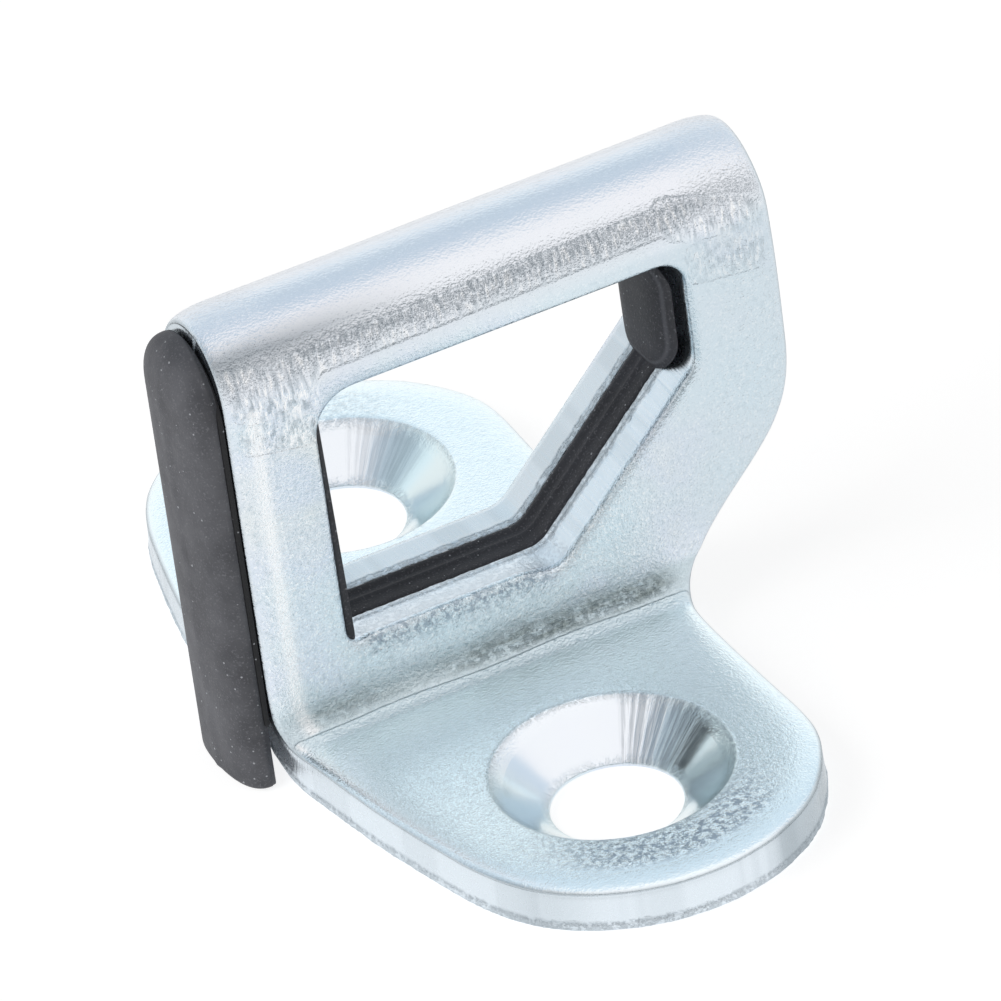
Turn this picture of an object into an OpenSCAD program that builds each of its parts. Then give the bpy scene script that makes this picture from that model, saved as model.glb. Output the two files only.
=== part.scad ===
// Car door latch striker: a folded steel keeper with two screw feet and a rubber insert.
// X runs along the fold, the two feet point to -Y and +Y, Z is up from the mounting face.
// The origin lies on the mounting face, midway between the two screw holes.
// Sizes along the fold are measured from the left edge of the leaves.

/* [Show] */
// Which piece is drawn

/* [Sheet] */
// Thickness of the steel blank
sheet_t = 3.5; // [2.5:0.1:4]
// Clear gap between the two upright leaves
leaf_gap = 3; // [2:0.1:4]
// Inside radius of the two foot bends
bend_r = 2; // [1:0.1:3.5]

/* [Leaves] */
// Height of the fold above the mounting face
plate_h = 35; // [34:0.5:42]
// Widest size of the leaves along the fold
leaf_w = 41; // [39:0.5:46]
// How much narrower the leaves are at the fold
fold_taper = 0.5; // [0.1:0.1:1.5]
// How far below the fold's top that narrowing begins
taper_drop = 9; // [7:0.5:12]
// Slope of the cut edge and of the sloped window side
slope_a = 45; // [40:1:50]
// Height of the sharp shoulder corner before rounding
shoulder_z = 15; // [14:0.25:16]
// Radius of the shoulder
shoulder_r = 9; // [4:0.5:10]
// Width left at the waist above the feet
waist_w = 30.75; // [30.5:0.25:32]
// Radius of the waist
waist_r = 3; // [1:0.25:3.5]
// How far the left edge steps in at the feet
foot_inset = 1.1; // [0.1:0.1:2]

/* [Window] */
// Left side of the window
window_left = 6.3; // [5.5:0.1:8]
// Right side of the window
window_right = 34.05; // [32:0.05:35]
// Metal left above the window, up to the fold's top
window_drop = 6.25; // [6:0.25:8]
// Floor of the window
window_floor = 8.6; // [8:0.1:10]
// Height where the sloped side meets the right side
window_side_z = 20.25; // [19:0.25:22]
// Corner radius at the top left
corner_tl = 3; // [1:0.25:4]
// Corner radius at the top right
corner_tr = 2; // [1:0.25:3]
// Corner radius between the right side and the slope
corner_rs = 2; // [1:0.25:4]
// Corner radius between the slope and the floor
corner_sf = 2; // [1:0.25:4]
// Corner radius at the bottom left
corner_bl = 1.5; // [1:0.25:3]

/* [Feet] */
// Radius of the rounded foot tip
tip_r = 13.2; // [12:0.1:15]
// Centre of the foot tip along the fold
tip_x = 17.3; // [16:0.1:18]
// Centre of the foot tip away from the middle plane
tip_y = 21.2; // [20:0.1:26]

/* [Screw holes] */
// Hole centre along the fold
hole_x = 17.25; // [16:0.05:18.5]
// Hole centre away from the middle plane
hole_y = 20.5; // [19:0.1:24]
// Through hole for an M8 screw
hole_d = 9; // [8.4:0.1:10]
// Outer diameter of the countersink
sink_d = 16.5; // [14:0.1:18]
// Straight land left below the countersink
land_h = 0.8; // [0.4:0.1:1.2]

/* [Rubber insert] */
// How far the web stays below the start of the fold
web_drop = 0.2; // [0.1:0.1:0.8]
// Bottom of the web between the leaves
web_bottom = 4.6; // [4.5:0.1:6]
// Metal left uncovered outside the web
web_margin = 1.2; // [0.5:0.1:3]
// How far the rail stands proud of the window walls
rail_proud = 0.2; // [0.1:0.05:0.6]
// Thickness of the lining on the left window wall
lining_t = 0.7; // [0.4:0.05:1.2]
// How far the lining stays back from the leaf faces
lining_setback = 0.8; // [0.3:0.1:2]
// How far the lining ends below the window's top
lining_drop = 1.75; // [1.5:0.25:4]
// How far the pad stays back from the leaf faces
pad_setback = 1; // [0.2:0.1:1.5]
// How far the pad edge stands proud of the window wall
pad_edge = 1.05; // [0.6:0.05:1.6]
// Extra height of the pad crown
pad_crown = 1.1; // [0.5:0.05:1.6]
// Corner radius of the pad
pad_r = 2.6; // [1:0.1:3]
// How far the pad ends below the window's top
pad_drop = 0.75; // [0.25:0.25:2]

/* [Side cover] */
// How far the side cover stays back from the leaf faces
cover_setback = 0.55; // [0.05:0.05:1.2]
// How far the flange on the leaf edges ends below the fold's top
flange_drop = 1; // [0.5:0.1:1.5]
// Bottom of the flange on the leaf edges
flange_low = 4.4; // [4.3:0.1:8]
// Thickness of the flange
flange_t = 0.4; // [0.3:0.05:0.7]
// How far the crowned strip ends below the fold's top
cover_drop = 1.1; // [1:0.1:4]
// Corner radius of both rounded tops
cover_top_r = 4.2; // [2:0.1:4.4]
// Corner radius of the low end
cover_low_r = 1; // [0.4:0.1:3]
// Thickness of the strip at its edges
cover_edge = 0.15; // [0.1:0.05:0.6]
// Extra height of the strip's crown
cover_crown = 2.1; // [1:0.1:2.6]

/* [Fits] */
// Clearance between the rubber and the steel
rubber_clear = 0.05; // [0.02:0.01:0.1]

/* [Hidden] */
$fn = 96;
total_t = leaf_gap + 2 * sheet_t;
half_t = total_t / 2;
fold_z = plate_h - half_t;
taper_z = plate_h - taper_drop;
window_top = plate_h - window_drop;
web_top = fold_z - web_drop;
lining_top = window_top - lining_drop;
pad_top = window_top - pad_drop;
pad_w = total_t - 2 * pad_setback;
cover_w = total_t - 2 * cover_setback;
flange_top = plate_h - flange_drop;
cover_top = plate_h - cover_drop;
bend_c = half_t + bend_r;
waist_z = shoulder_z - (leaf_w - waist_w) * tan(slope_a);
foot_end = tip_y + tip_r;
sink_h = sheet_t - land_h;
rise = 0.4;
foot_lap = 0.6;
steel_colour = [0.78, 0.84, 0.87];
rubber_colour = [0.16, 0.17, 0.18];

// The part is drawn from this list of pieces
striker_plate();
rubber_insert();

// Unit vector from one flat point to another
function toward(a, b) = (b - a) / norm(b - a);

// Length from a corner to the start of its rounding
function run(a, p, b, r) = r / tan(acos(toward(p, a) * toward(p, b)) / 2);

// Centre of the rounding of a corner
function round_at(a, p, b, r) =
    p + (toward(p, a) + toward(p, b)) * run(a, p, b, r) / (1 + toward(p, a) * toward(p, b));

// Touch point of a straight edge from an outside point onto a circle
function touch(p, c, r, side) =
    let (d = norm(p - c))
    let (a = atan2(p[1] - c[1], p[0] - c[0]) + side * acos(r / d))
    c + r * [cos(a), sin(a)];

// Flat outline with every corner rounded outward by its own radius
module rounded(pts, radii) {
    n = len(pts);
    polygon([
        for (i = [0 : n - 1])
            for (s = [0, 1])
                let (a = pts[(i + n - 1) % n])
                let (p = pts[i])
                let (b = pts[(i + 1) % n])
                p + toward(p, s == 0 ? a : b) * run(a, p, b, radii[i])
    ]);
    for (i = [0 : n - 1])
        translate(round_at(pts[(i + n - 1) % n], pts[i], pts[(i + 1) % n], radii[i]))
            circle(r = radii[i]);
}

// Five sided window outline with each side moved inward
module window_outline(in_left, in_right, in_top, in_floor, in_slope) {
    l = window_left + in_left;
    r = window_right - in_right;
    t = window_top - in_top;
    f = window_floor + in_floor;
    side = window_side_z - in_right * tan(slope_a) + in_slope / cos(slope_a);
    foot = window_right + (f - window_side_z - in_slope / cos(slope_a)) / tan(slope_a);
    rounded(
        [[l, f], [foot, f], [r, side], [r, t], [l, t]],
        [corner_bl, corner_sf, corner_rs, corner_tr, corner_tl]
    );
}

// Folded strip seen from the end, as a flat outline with Y and Z
module strip_profile() {
    difference() {
        translate([0, fold_z]) circle(r = half_t);
        translate([-half_t - 1, fold_z - half_t - 2]) square([total_t + 2, half_t + 2]);
        translate([0, fold_z]) circle(r = leaf_gap / 2);
    }
    for (s = [-1, 1])
        mirror([s < 0 ? 1 : 0, 0])
            half_profile();
}

// One leaf with its bend and foot, as a flat outline
module half_profile() {
    translate([leaf_gap / 2, sheet_t + bend_r]) square([sheet_t, fold_z - sheet_t - bend_r]);
    translate([bend_c, 0]) square([foot_end + 1 - bend_c, sheet_t]);
    difference() {
        translate([bend_c, sheet_t + bend_r]) circle(r = sheet_t + bend_r);
        translate([bend_c, sheet_t + bend_r]) circle(r = bend_r);
        translate([bend_c, -1]) square([sheet_t + bend_r + 1, 2 * (sheet_t + bend_r) + 2]);
        translate([0, sheet_t + bend_r]) square([bend_c + 1, sheet_t + bend_r + 1]);
    }
}

// Side view outline of the leaves
module leaf_outline() {
    shoulder = [leaf_w, shoulder_z];
    waist = [waist_w, waist_z];
    low = [waist_w, -1];
    high = [leaf_w, taper_z];
    cut_s = run(high, shoulder, waist, shoulder_r);
    cut_w = run(shoulder, waist, low, waist_r);
    difference() {
        union() {
            polygon([
                [foot_inset, -1],
                low,
                waist + toward(waist, low) * cut_w,
                waist + toward(waist, shoulder) * cut_w,
                shoulder + toward(shoulder, waist) * cut_s,
                shoulder + toward(shoulder, high) * cut_s,
                high,
                [leaf_w - fold_taper, plate_h + 1],
                [0, plate_h + 1],
                [0, sheet_t + bend_r + 1.5],
                [foot_inset, sheet_t]
            ]);
            translate(round_at(high, shoulder, waist, shoulder_r)) circle(r = shoulder_r);
        }
        translate(round_at(shoulder, waist, low, waist_r)) circle(r = waist_r);
    }
}

// Top view outline of the foot that points to +Y
module foot_outline() {
    c = [tip_x, tip_y];
    left = [foot_inset, bend_c];
    right = [waist_w, bend_c];
    polygon([
        left - [0, foot_lap],
        right - [0, foot_lap],
        right,
        touch(right, c, tip_r, 1),
        touch(left, c, tip_r, -1),
        left
    ]);
    translate(c) circle(r = tip_r);
}

// The folded strip cut to its outlines, before the window and the holes
module plate_body() {
    intersection() {
        rotate([90, 0, 90]) linear_extrude(leaf_w + 1) strip_profile();
        translate([0, bend_c, 0]) rotate([90, 0, 0]) linear_extrude(2 * bend_c) leaf_outline();
    }
    for (s = [0, 1])
        mirror([0, s, 0])
            foot();
}

// One flat foot beyond its bend
module foot() {
    intersection() {
        rotate([90, 0, 90]) linear_extrude(leaf_w + 1) strip_profile();
        translate([0, 0, -1]) linear_extrude(sheet_t + 2) foot_outline();
    }
}

// Screw hole with its countersink, drawn about its own axis
module screw_cut() {
    rotate_extrude()
        polygon([
            [0, -1],
            [hole_d / 2, -1],
            [hole_d / 2, land_h],
            [sink_d / 2, sheet_t],
            [sink_d / 2 + rise * (sink_d - hole_d) / (2 * sink_h), sheet_t + rise],
            [0, sheet_t + rise]
        ]);
}

// Steel plate: fold, two leaves, window, two feet and two screw holes
module striker_plate() {
    color(steel_colour)
    translate([-hole_x, 0, 0])
    difference() {
        plate_body();
        translate([0, half_t + 1, 0])
            rotate([90, 0, 0])
                linear_extrude(total_t + 2)
                    window_outline(0, 0, 0, 0, 0);
        for (s = [-1, 1])
            translate([hole_x, s * hole_y, 0])
                screw_cut();
    }
}

// Flat web between the leaves, joined to the flange at its left end
module web() {
    w = leaf_gap - 2 * rubber_clear;
    reach = leaf_w - fold_taper - web_margin;
    edge = web_margin / cos(slope_a);
    shift = (waist_z - web_bottom + edge) / tan(slope_a);
    turn = shoulder_z + edge + (reach - leaf_w) * tan(slope_a);
    translate([0, w / 2, 0])
        rotate([90, 0, 0])
            linear_extrude(w)
                difference() {
                    polygon([
                        [-rubber_clear - flange_t / 2, web_bottom],
                        [waist_w - shift, web_bottom],
                        [reach, turn],
                        [reach, web_top],
                        [-rubber_clear - flange_t / 2, web_top]
                    ]);
                    window_outline(lining_t, pad_edge / 2, 0, rail_proud, rail_proud);
                }
}

// Thin lining on the left window wall
module lining() {
    w = total_t - 2 * lining_setback;
    translate([0, w / 2, 0])
        rotate([90, 0, 0])
            linear_extrude(w)
                intersection() {
                    window_outline(rubber_clear, rubber_clear, rubber_clear, rubber_clear, rubber_clear);
                    translate([window_left, window_floor]) square([lining_t, lining_top - window_floor]);
                }
}

// Crowned bumper pad on the right window wall
module pad() {
    h = pad_top - window_floor;
    crown_r = (pad_w * pad_w / 4 + pad_crown * pad_crown) / (2 * pad_crown);
    crest = window_right - pad_edge - pad_crown;
    intersection() {
        translate([crest + crown_r, 0, window_floor]) cylinder(r = crown_r, h = h);
        translate([0, total_t, 0])
            rotate([90, 0, 0])
                linear_extrude(2 * total_t)
                    window_outline(rubber_clear, rubber_clear, rubber_clear, rubber_clear, rubber_clear);
        translate([crest - 1, 0, 0])
            rotate([90, 0, 90])
                linear_extrude(pad_edge + pad_crown + 2)
                    pad_face();
    }
}

// Rounded face of the pad, as a flat outline with Y and Z
module pad_face() {
    low = window_side_z - (pad_edge + pad_crown) * tan(slope_a);
    rounded(
        [[-pad_w / 2, low], [pad_w / 2, low], [pad_w / 2, pad_top], [-pad_w / 2, pad_top]],
        [pad_r, pad_r, pad_r, pad_r]
    );
}

// Rounded face of the side cover or its flange, as a flat outline with Y and Z
module cover_face(low, high) {
    h = cover_w / 2;
    rounded(
        [[-h, low], [h, low], [h, high], [-h, high]],
        [cover_low_r, cover_low_r, cover_top_r, cover_top_r]
    );
}

// Flat flange that lies against the left edges of the leaves
module flange() {
    translate([-rubber_clear - flange_t, 0, 0])
        rotate([90, 0, 90])
            linear_extrude(flange_t)
                cover_face(flange_low, flange_top);
}

// Crowned strip over the flange, with its low end hanging free
module crowned_strip() {
    crown_r = (cover_w * cover_w / 4 + cover_crown * cover_crown) / (2 * cover_crown);
    back = -rubber_clear - flange_t / 2;
    crest = -rubber_clear - flange_t - cover_edge - cover_crown;
    intersection() {
        translate([crest + crown_r, 0, -1]) cylinder(r = crown_r, h = plate_h + 2);
        translate([crest - 1, 0, 0])
            rotate([90, 0, 90])
                linear_extrude(back - crest + 1)
                    cover_face(0, cover_top);
    }
}

// Black rubber moulding: crowned strip, flange, web, lining, rail and pad in one piece
module rubber_insert() {
    color(rubber_colour)
    translate([-hole_x, 0, 0])
    union() {
        web();
        lining();
        pad();
        flange();
        crowned_strip();
    }
}
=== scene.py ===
"""Door latch striker, dressed for its picture: folded zinc plated plate, black rubber insert.

All shapes are worked out in millimetres in the striker's own frame (X along the fold, Y across the
leaves, Z up from the mounting face) and written to the meshes in metres.
"""

import math

import bmesh
import bpy
import numpy as np
from mathutils import Matrix, Vector
from mathutils.geometry import delaunay_2d_cdt


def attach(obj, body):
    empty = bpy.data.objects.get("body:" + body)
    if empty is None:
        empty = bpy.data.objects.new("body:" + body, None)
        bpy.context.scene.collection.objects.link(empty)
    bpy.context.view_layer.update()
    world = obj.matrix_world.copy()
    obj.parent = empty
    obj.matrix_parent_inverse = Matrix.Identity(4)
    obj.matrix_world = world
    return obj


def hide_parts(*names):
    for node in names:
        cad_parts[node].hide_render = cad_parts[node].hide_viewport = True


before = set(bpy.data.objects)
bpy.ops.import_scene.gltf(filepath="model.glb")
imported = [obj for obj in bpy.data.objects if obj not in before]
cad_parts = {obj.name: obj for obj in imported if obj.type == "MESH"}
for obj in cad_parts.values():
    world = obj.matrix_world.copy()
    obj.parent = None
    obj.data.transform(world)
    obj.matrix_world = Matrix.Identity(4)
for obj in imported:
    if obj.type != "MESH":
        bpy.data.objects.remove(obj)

bl_info = {
    "name": "Door Latch Striker",
    "version": (1, 0, 0),
    "blender": (4, 5, 0),
    "location": "View3D > Sidebar > Striker",
    "description": "Builds a folded steel door striker, its rubber insert and their studio",
    "category": "Object",
}

# Sizes shared with the part's source, in millimetres. X is counted from the leaves' left edge.
HOLE_X = 17.25
HOLE_Y = 20.5
SHEET = 3.5
GAP = 3.0
BEND_R = 2.0
TOP_Z = 35.0
HALF = GAP / 2 + SHEET
FOLD_Z = TOP_Z - HALF
BEND_C = HALF + BEND_R
FOLD_MID = GAP / 2 + SHEET / 2
BEND_MID = BEND_R + SHEET / 2
S_FOLD = FOLD_MID * math.pi / 2
S_LEAF = S_FOLD + FOLD_Z - SHEET - BEND_R
S_BEND = S_LEAF + BEND_MID * math.pi / 2
WINDOW_LEFT = 6.3
WINDOW_RIGHT = 34.05
WINDOW_FLOOR = 8.6
WINDOW_SIDE_Z = 20.25
WINDOW_DIAGONAL_X = WINDOW_RIGHT + WINDOW_FLOOR - WINDOW_SIDE_Z
SINK_R = 8.25
HOLE_R = 4.5
# Two that differ: the window's top is 0.1 mm lower here and a hole's straight land is 0.45 mm shorter
WINDOW_TOP = 28.65
LAND = 0.35


# Numbers and curves


def linear(code):
    """Linear RGBA of an sRGB hex colour such as '#C8DEE6'."""
    c = np.array([int(code[i : i + 2], 16) for i in (1, 3, 5)]) / 255
    c = np.where(c <= 0.04045, c / 12.92, ((c + 0.055) / 1.055) ** 2.4)
    return (*c.tolist(), 1.0)


def smooth_step(value, low, high):
    """0 below low, 1 above high and the cubic 3t2 - 2t3 between them."""
    t = np.clip((value - low) / (high - low), 0, 1)
    return t * t * (3 - 2 * t)


def noise_1d(t, seed, octaves=4):
    """Sum of sines with random phases: each octave has twice the pitch and 0.6 of the height."""
    rng = np.random.default_rng(seed)
    out = np.zeros_like(t)
    for k in range(octaves):
        f = 2**k * (1 + 0.3 * rng.random(3))
        out += 0.6**k * np.sin(t[..., None] * f + rng.random(3) * 6.283).sum(-1) / 3
    return out


def evenly(points, step):
    """A closed polyline walked at even steps: points are interpolated at equal arc lengths."""
    p = np.vstack([points, points[:1]])
    run = np.concatenate([[0], np.cumsum(np.linalg.norm(np.diff(p, axis=0), axis=1))])
    t = np.linspace(0, run[-1], int(round(run[-1] / step)), endpoint=False)
    return np.stack([np.interp(t, run, p[:, k]) for k in range(p.shape[1])], 1)


def softened(points, step, reach):
    """A closed polyline made smooth: even steps, then a Gaussian average over the given reach."""
    p = evenly(points, step)
    n = int(4 * reach / step)
    g = np.exp(-0.5 * (np.arange(-n, n + 1) * step / reach) ** 2)
    g /= g.sum()
    wrapped = np.vstack([p[-n:], p, p[:n]])
    return np.stack([np.convolve(wrapped[:, k], g, "valid") for k in range(2)], 1)


def rounded_loop(corners, radii, step):
    """A polygon with round corners: at each corner an arc of its radius, tangent to both sides."""
    c = np.array(corners, float)
    parts = []
    for i, r in enumerate(radii):
        p, a, b = c[i], c[i - 1], c[(i + 1) % len(c)]
        u, v = (a - p) / np.linalg.norm(a - p), (b - p) / np.linalg.norm(b - p)
        half = math.acos(np.clip(u @ v, -1, 1)) / 2
        mid = (u + v) / np.linalg.norm(u + v)
        o = p + mid * r / math.sin(half)
        s, e = p + u * r / math.tan(half) - o, p + v * r / math.tan(half) - o
        a0 = math.atan2(s[1], s[0])
        turn = (math.atan2(e[1], e[0]) - a0 + math.pi) % (2 * math.pi) - math.pi
        t = a0 + turn * np.linspace(0, 1, 24)
        parts.append(o + r * np.stack([np.cos(t), np.sin(t)], 1))
    return evenly(np.vstack(parts), step)


def inward(loop):
    """Unit normals of a closed loop that point to its inside, from central differences."""
    d = np.roll(loop, -1, 0) - np.roll(loop, 1, 0)
    n = np.stack([-d[:, 1], d[:, 0]], 1) / np.linalg.norm(d, axis=1)[:, None]
    x, y = loop[:, 0], loop[:, 1]
    area = np.sum(x * np.roll(y, -1) - np.roll(x, -1) * y)
    return n if area > 0 else -n


def inside(points, loop):
    """Even-odd test of points in a closed loop: counts the sides that a ray to +X crosses."""
    hit = np.zeros(len(points), int)
    a, b = loop, np.roll(loop, -1, 0)
    for k in range(0, len(a), 256):
        p, q = a[k : k + 256], b[k : k + 256]
        above = (p[:, 1] > points[:, 1:2]) != (q[:, 1] > points[:, 1:2])
        rise = np.where(q[:, 1] == p[:, 1], 1e-9, q[:, 1] - p[:, 1])
        x = p[:, 0] + (points[:, 1:2] - p[:, 1]) * (q[:, 0] - p[:, 0]) / rise
        hit += (above & (points[:, 0:1] < x)).sum(1)
    return hit % 2 == 1


def nearest(points, others):
    """Distance from each point to the nearest of the others."""
    out = np.full(len(points), 1e9)
    for k in range(0, len(others), 128):
        d = points[:, None] - others[None, k : k + 128]
        out = np.minimum(out, np.sqrt((d**2).sum(-1)).min(1))
    return out


def ring_quads(rows, count, start=0):
    """Quads between rows of a closed grid whose rows hold count points each."""
    i, j = np.meshgrid(np.arange(rows - 1), np.arange(count), indexing="ij")
    k = (j + 1) % count
    q = np.stack([i * count + j, i * count + k, (i + 1) * count + k, (i + 1) * count + j], -1)
    return (q + start).reshape(-1, 4)


def filled(loops, holes, spacing):
    """Flat triangles between the outer loop and its holes: the loops' own points plus a grid of
    points inside at the given spacing, joined by a Delaunay triangulation that keeps the loops."""
    outer = loops[0]
    lo, hi = outer.min(0), outer.max(0)
    gx, gy = np.meshgrid(np.arange(lo[0], hi[0], spacing), np.arange(lo[1], hi[1], spacing))
    grid = np.stack([gx.ravel(), gy.ravel()], 1)
    grid = grid[inside(grid, outer)]
    for hole in holes:
        grid = grid[~inside(grid, hole)]
    rims = [outer, *holes]
    grid = grid[nearest(grid, np.vstack(rims)) > 0.55 * spacing]
    pts = np.vstack([*rims, grid])
    edges, start = [], 0
    for rim in rims:
        i = np.arange(len(rim))
        edges.append(np.stack([i, (i + 1) % len(rim)], 1) + start)
        start += len(rim)
    given = [Vector(p) for p in pts.tolist()]
    made = delaunay_2d_cdt(given, np.vstack(edges).tolist(), [], 0, 1e-6)
    verts = np.array([v[:] for v in made[0]])
    tris = np.array(made[2])
    mid = verts[tris].mean(1)
    keep = inside(mid, outer)
    for hole in holes:
        keep &= ~inside(mid, hole)
    return verts, tris[keep]


# Meshes


def put_object(name, data):
    """A new object with its data, linked to the scene."""
    obj = bpy.data.objects.new(name, data)
    bpy.context.scene.collection.objects.link(obj)
    return obj


def put_mesh(name, patches, material, replaced, maps=()):
    """One object from patches of (points in mm, blocks of faces, values): points are moved to the
    frame, doubles are merged and the faces turned outwards. Each map is a UV layer made from two
    of the values."""
    points, faces, start = [], [], 0
    keys = sorted({k for p in patches for k in p[2]})
    values = {k: [] for k in keys}
    for xyz, blocks, data in patches:
        points.append(xyz)
        for block in blocks:
            faces += (np.asarray(block) + start).tolist()
        for k in keys:
            values[k].append(np.broadcast_to(data.get(k, 0.0), (len(xyz),)))
        start += len(xyz)
    xyz = (np.vstack(points) - [HOLE_X, 0, 0]) / 1000
    mesh = bpy.data.meshes.new(name)
    mesh.from_pydata(xyz.tolist(), [], faces)
    for k in keys:
        layer = mesh.attributes.new(k, "FLOAT", "POINT")
        layer.data.foreach_set("value", np.concatenate(values[k]).astype(np.float32))
    bm = bmesh.new()
    bm.from_mesh(mesh)
    bmesh.ops.remove_doubles(bm, verts=bm.verts, dist=2e-7)
    bmesh.ops.dissolve_degenerate(bm, edges=bm.edges, dist=1e-8)
    bmesh.ops.recalc_face_normals(bm, faces=bm.faces)
    bm.to_mesh(mesh)
    bm.free()
    mesh.polygons.foreach_set("use_smooth", np.ones(len(mesh.polygons), bool))
    index = np.zeros(len(mesh.loops), np.int32)
    mesh.loops.foreach_get("vertex_index", index)
    for layer_name, *pair in maps:
        uv = np.zeros((2, len(mesh.vertices)), np.float32)
        for row, k in enumerate(pair):
            mesh.attributes[k].data.foreach_get("value", uv[row])
        mesh.uv_layers.new(name=layer_name).data.foreach_set("uv", uv[:, index].T.ravel())
    mesh.materials.append(material)
    obj = put_object(name, mesh)
    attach(obj, "root")
    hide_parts(replaced)
    return obj


# Striker plate


def bent(x, s, w):
    """Blank coordinates to space. s is the arc length from the top of the fold (front positive),
    w the depth from the inner face. The fold turns about (0, FOLD_Z), the leaf runs straight
    down, the foot bend turns back about (BEND_C, SHEET + BEND_R), and the foot lies flat."""
    a = np.abs(s)
    side = np.where(s < 0, 1.0, -1.0)
    phi = a / FOLD_MID
    psi = (a - S_LEAF) / BEND_MID
    r_in, r_out = GAP / 2 + w, SHEET + BEND_R - w
    zones = [a < S_FOLD, a < S_LEAF, a < S_BEND]
    y = np.select(
        zones,
        [r_in * np.sin(phi), r_in, BEND_C - r_out * np.cos(psi)],
        BEND_C + a - S_BEND,
    )
    z = np.select(
        zones,
        [
            FOLD_Z + r_in * np.cos(phi),
            FOLD_Z - (a - S_FOLD) + 0 * w,
            SHEET + BEND_R - r_out * np.sin(psi),
        ],
        w,
    )
    return np.stack([x, side * y, z], -1)


def leaf_s(z):
    """Arc length of a height on the leaf."""
    return S_FOLD + FOLD_Z - z


def foot_s(y):
    """Arc length of a distance from the middle plane on the foot."""
    return S_BEND + y - BEND_C


# Half of the blank's outline (x, s): down the left edge from the fold, round the foot, up the right
LEFT_EDGE = [
    (0.12, 1.0), (0.0, 4.0), (0.0, 12.0), (0.0, 20.0), (0.0, 28.2), (0.15, 30.6), (0.55, 33.0),
    (0.98, 35.0), (1.25, 36.6), (1.4, 37.7), (1.65, 39.5), (2.25, 43.5), (3.25, 48.2),
]
FOOT_TIP = [
    (4.3, 52.6), (5.2, 55.1), (6.3, 57.2), (7.7, 58.9), (9.6, 60.5), (12.1, 61.85),
    (14.7, 62.7), (17.0, 62.95), (19.2, 62.9), (22.4, 62.15), (25.3, 60.65), (27.2, 59.1),
    (29.0, 56.7),
]
RIGHT_EDGE = [
    (30.2, 54.4), (30.75, 52.4), (30.85, 50.0), (30.7, 46.0), (30.6, 42.0), (30.55, 38.5),
    (30.6, 36.2), (30.95, 34.0), (31.5, 32.2), (32.35, 30.4), (33.5, 28.6), (34.5, 27.4),
    (35.7, 26.1), (37.5, 24.3), (39.25, 22.3), (40.35, 20.3), (40.85, 18.5), (41.05, 16.7),
    (41.08, 12.0), (41.05, 8.7), (40.92, 5.2), (40.7, 2.5),
]
# How far out the rear foot's tip is, as a share of the front one
REAR_TIP = 0.955


def blank_outline(step):
    """Whole outline of the flat blank: the half outline, and the same mirrored to the rear with
    its foot tip drawn in a little. Both are smoothed together."""
    half = np.array(LEFT_EDGE + FOOT_TIP + RIGHT_EDGE)
    rear = half[::-1].copy()
    hole = foot_s(HOLE_Y)
    rear[:, 1] = np.where(rear[:, 1] > hole, hole + (rear[:, 1] - hole) * REAR_TIP, rear[:, 1])
    rear[:, 1] *= -1
    return softened(np.vstack([half, rear]), step, 0.7)


def window_loop(side, step):
    """Five sided window outline on one leaf, in blank coordinates; side is 1 in front."""
    corners = [
        (WINDOW_LEFT, WINDOW_FLOOR),
        (WINDOW_DIAGONAL_X, WINDOW_FLOOR),
        (WINDOW_RIGHT, WINDOW_SIDE_Z),
        (WINDOW_RIGHT, WINDOW_TOP),
        (WINDOW_LEFT, WINDOW_TOP),
    ]
    loop = rounded_loop(corners, [1.5, 2.4, 1.6, 2.0, 3.0], step)
    return np.stack([loop[:, 0], side * leaf_s(loop[:, 1])], 1)


# Profiles of the cut edges: (distance into the sheet from the outline, depth below the outer face)
OUTER_ROLL = [
    (2.9, 0.0), (2.5, 0.004), (2.1, 0.02), (1.7, 0.05), (1.3, 0.1), (0.95, 0.165), (0.65, 0.24),
    (0.42, 0.31), (0.26, 0.38), (0.14, 0.47), (0.05, 0.56), (0.0, 0.64), (0.05, 0.7),
    (0.05, 0.78),
]
WINDOW_ROLL = [
    (1.1, 0.0), (0.85, 0.01), (0.62, 0.035), (0.42, 0.08), (0.26, 0.15), (0.14, 0.24),
    (0.05, 0.36),
]
SHEAR = [
    (0.0, 0.86), (-0.02, 1.3), (-0.04, 1.75), (-0.06, 2.2), (-0.08, 2.62),
]
TEAR = [
    (-0.1, 2.8), (-0.06, 2.88), (-0.12, 2.98), (-0.15, 3.1), (-0.11, 3.22), (-0.13, 3.34),
]
BURR = [
    (-0.1, 3.42), (-0.02, 3.48), (0.12, 3.5), (0.5, 3.5),
]


def spread(values, shape):
    """Named values carried over a grid of the given shape, as flat rows."""
    return {name: np.broadcast_to(value, shape).ravel() for name, value in values.items()}


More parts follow.
